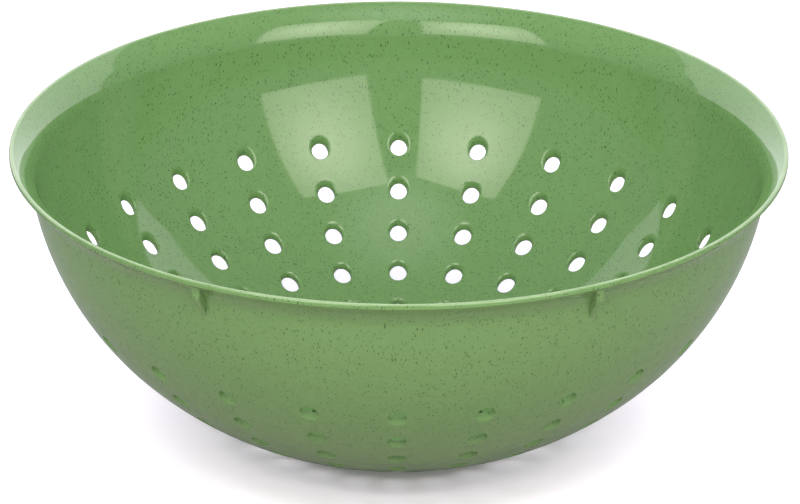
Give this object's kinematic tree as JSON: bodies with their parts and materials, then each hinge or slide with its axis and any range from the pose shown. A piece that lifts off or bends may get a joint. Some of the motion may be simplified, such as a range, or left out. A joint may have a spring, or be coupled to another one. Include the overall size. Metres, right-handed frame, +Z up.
{
  "type": "colander",
  "caption": "Round bowl-shaped kitchen colander in speckled green plastic, with a flared rim, rings of drain holes, stacking lugs under the rim and a low foot ring.",
  "frame": {"origin": "centre of the foot's standing face, on the table", "axes": "+Z up along the bowl's axis, -Y towards the viewer of the picture, where one column of drain holes lies"},
  "size_m": [0.28, 0.28, 0.1135],
  "materials": {
    "green_plastic": "glossy mid green with fine dark green flecks"
  },
  "bodies": {
    "root": {"rim": "green_plastic", "shoulder_wall": "green_plastic", "belly_wall": "green_plastic", "bottom_wall": "green_plastic", "base": "green_plastic", "foot_ring": "green_plastic", "stacking_lug_1": "green_plastic", "stacking_lug_2": "green_plastic", "stacking_lug_3": "green_plastic", "stacking_lug_4": "green_plastic", "stacking_lug_5": "green_plastic", "stacking_lug_6": "green_plastic"}
  },
  "joints": []
}
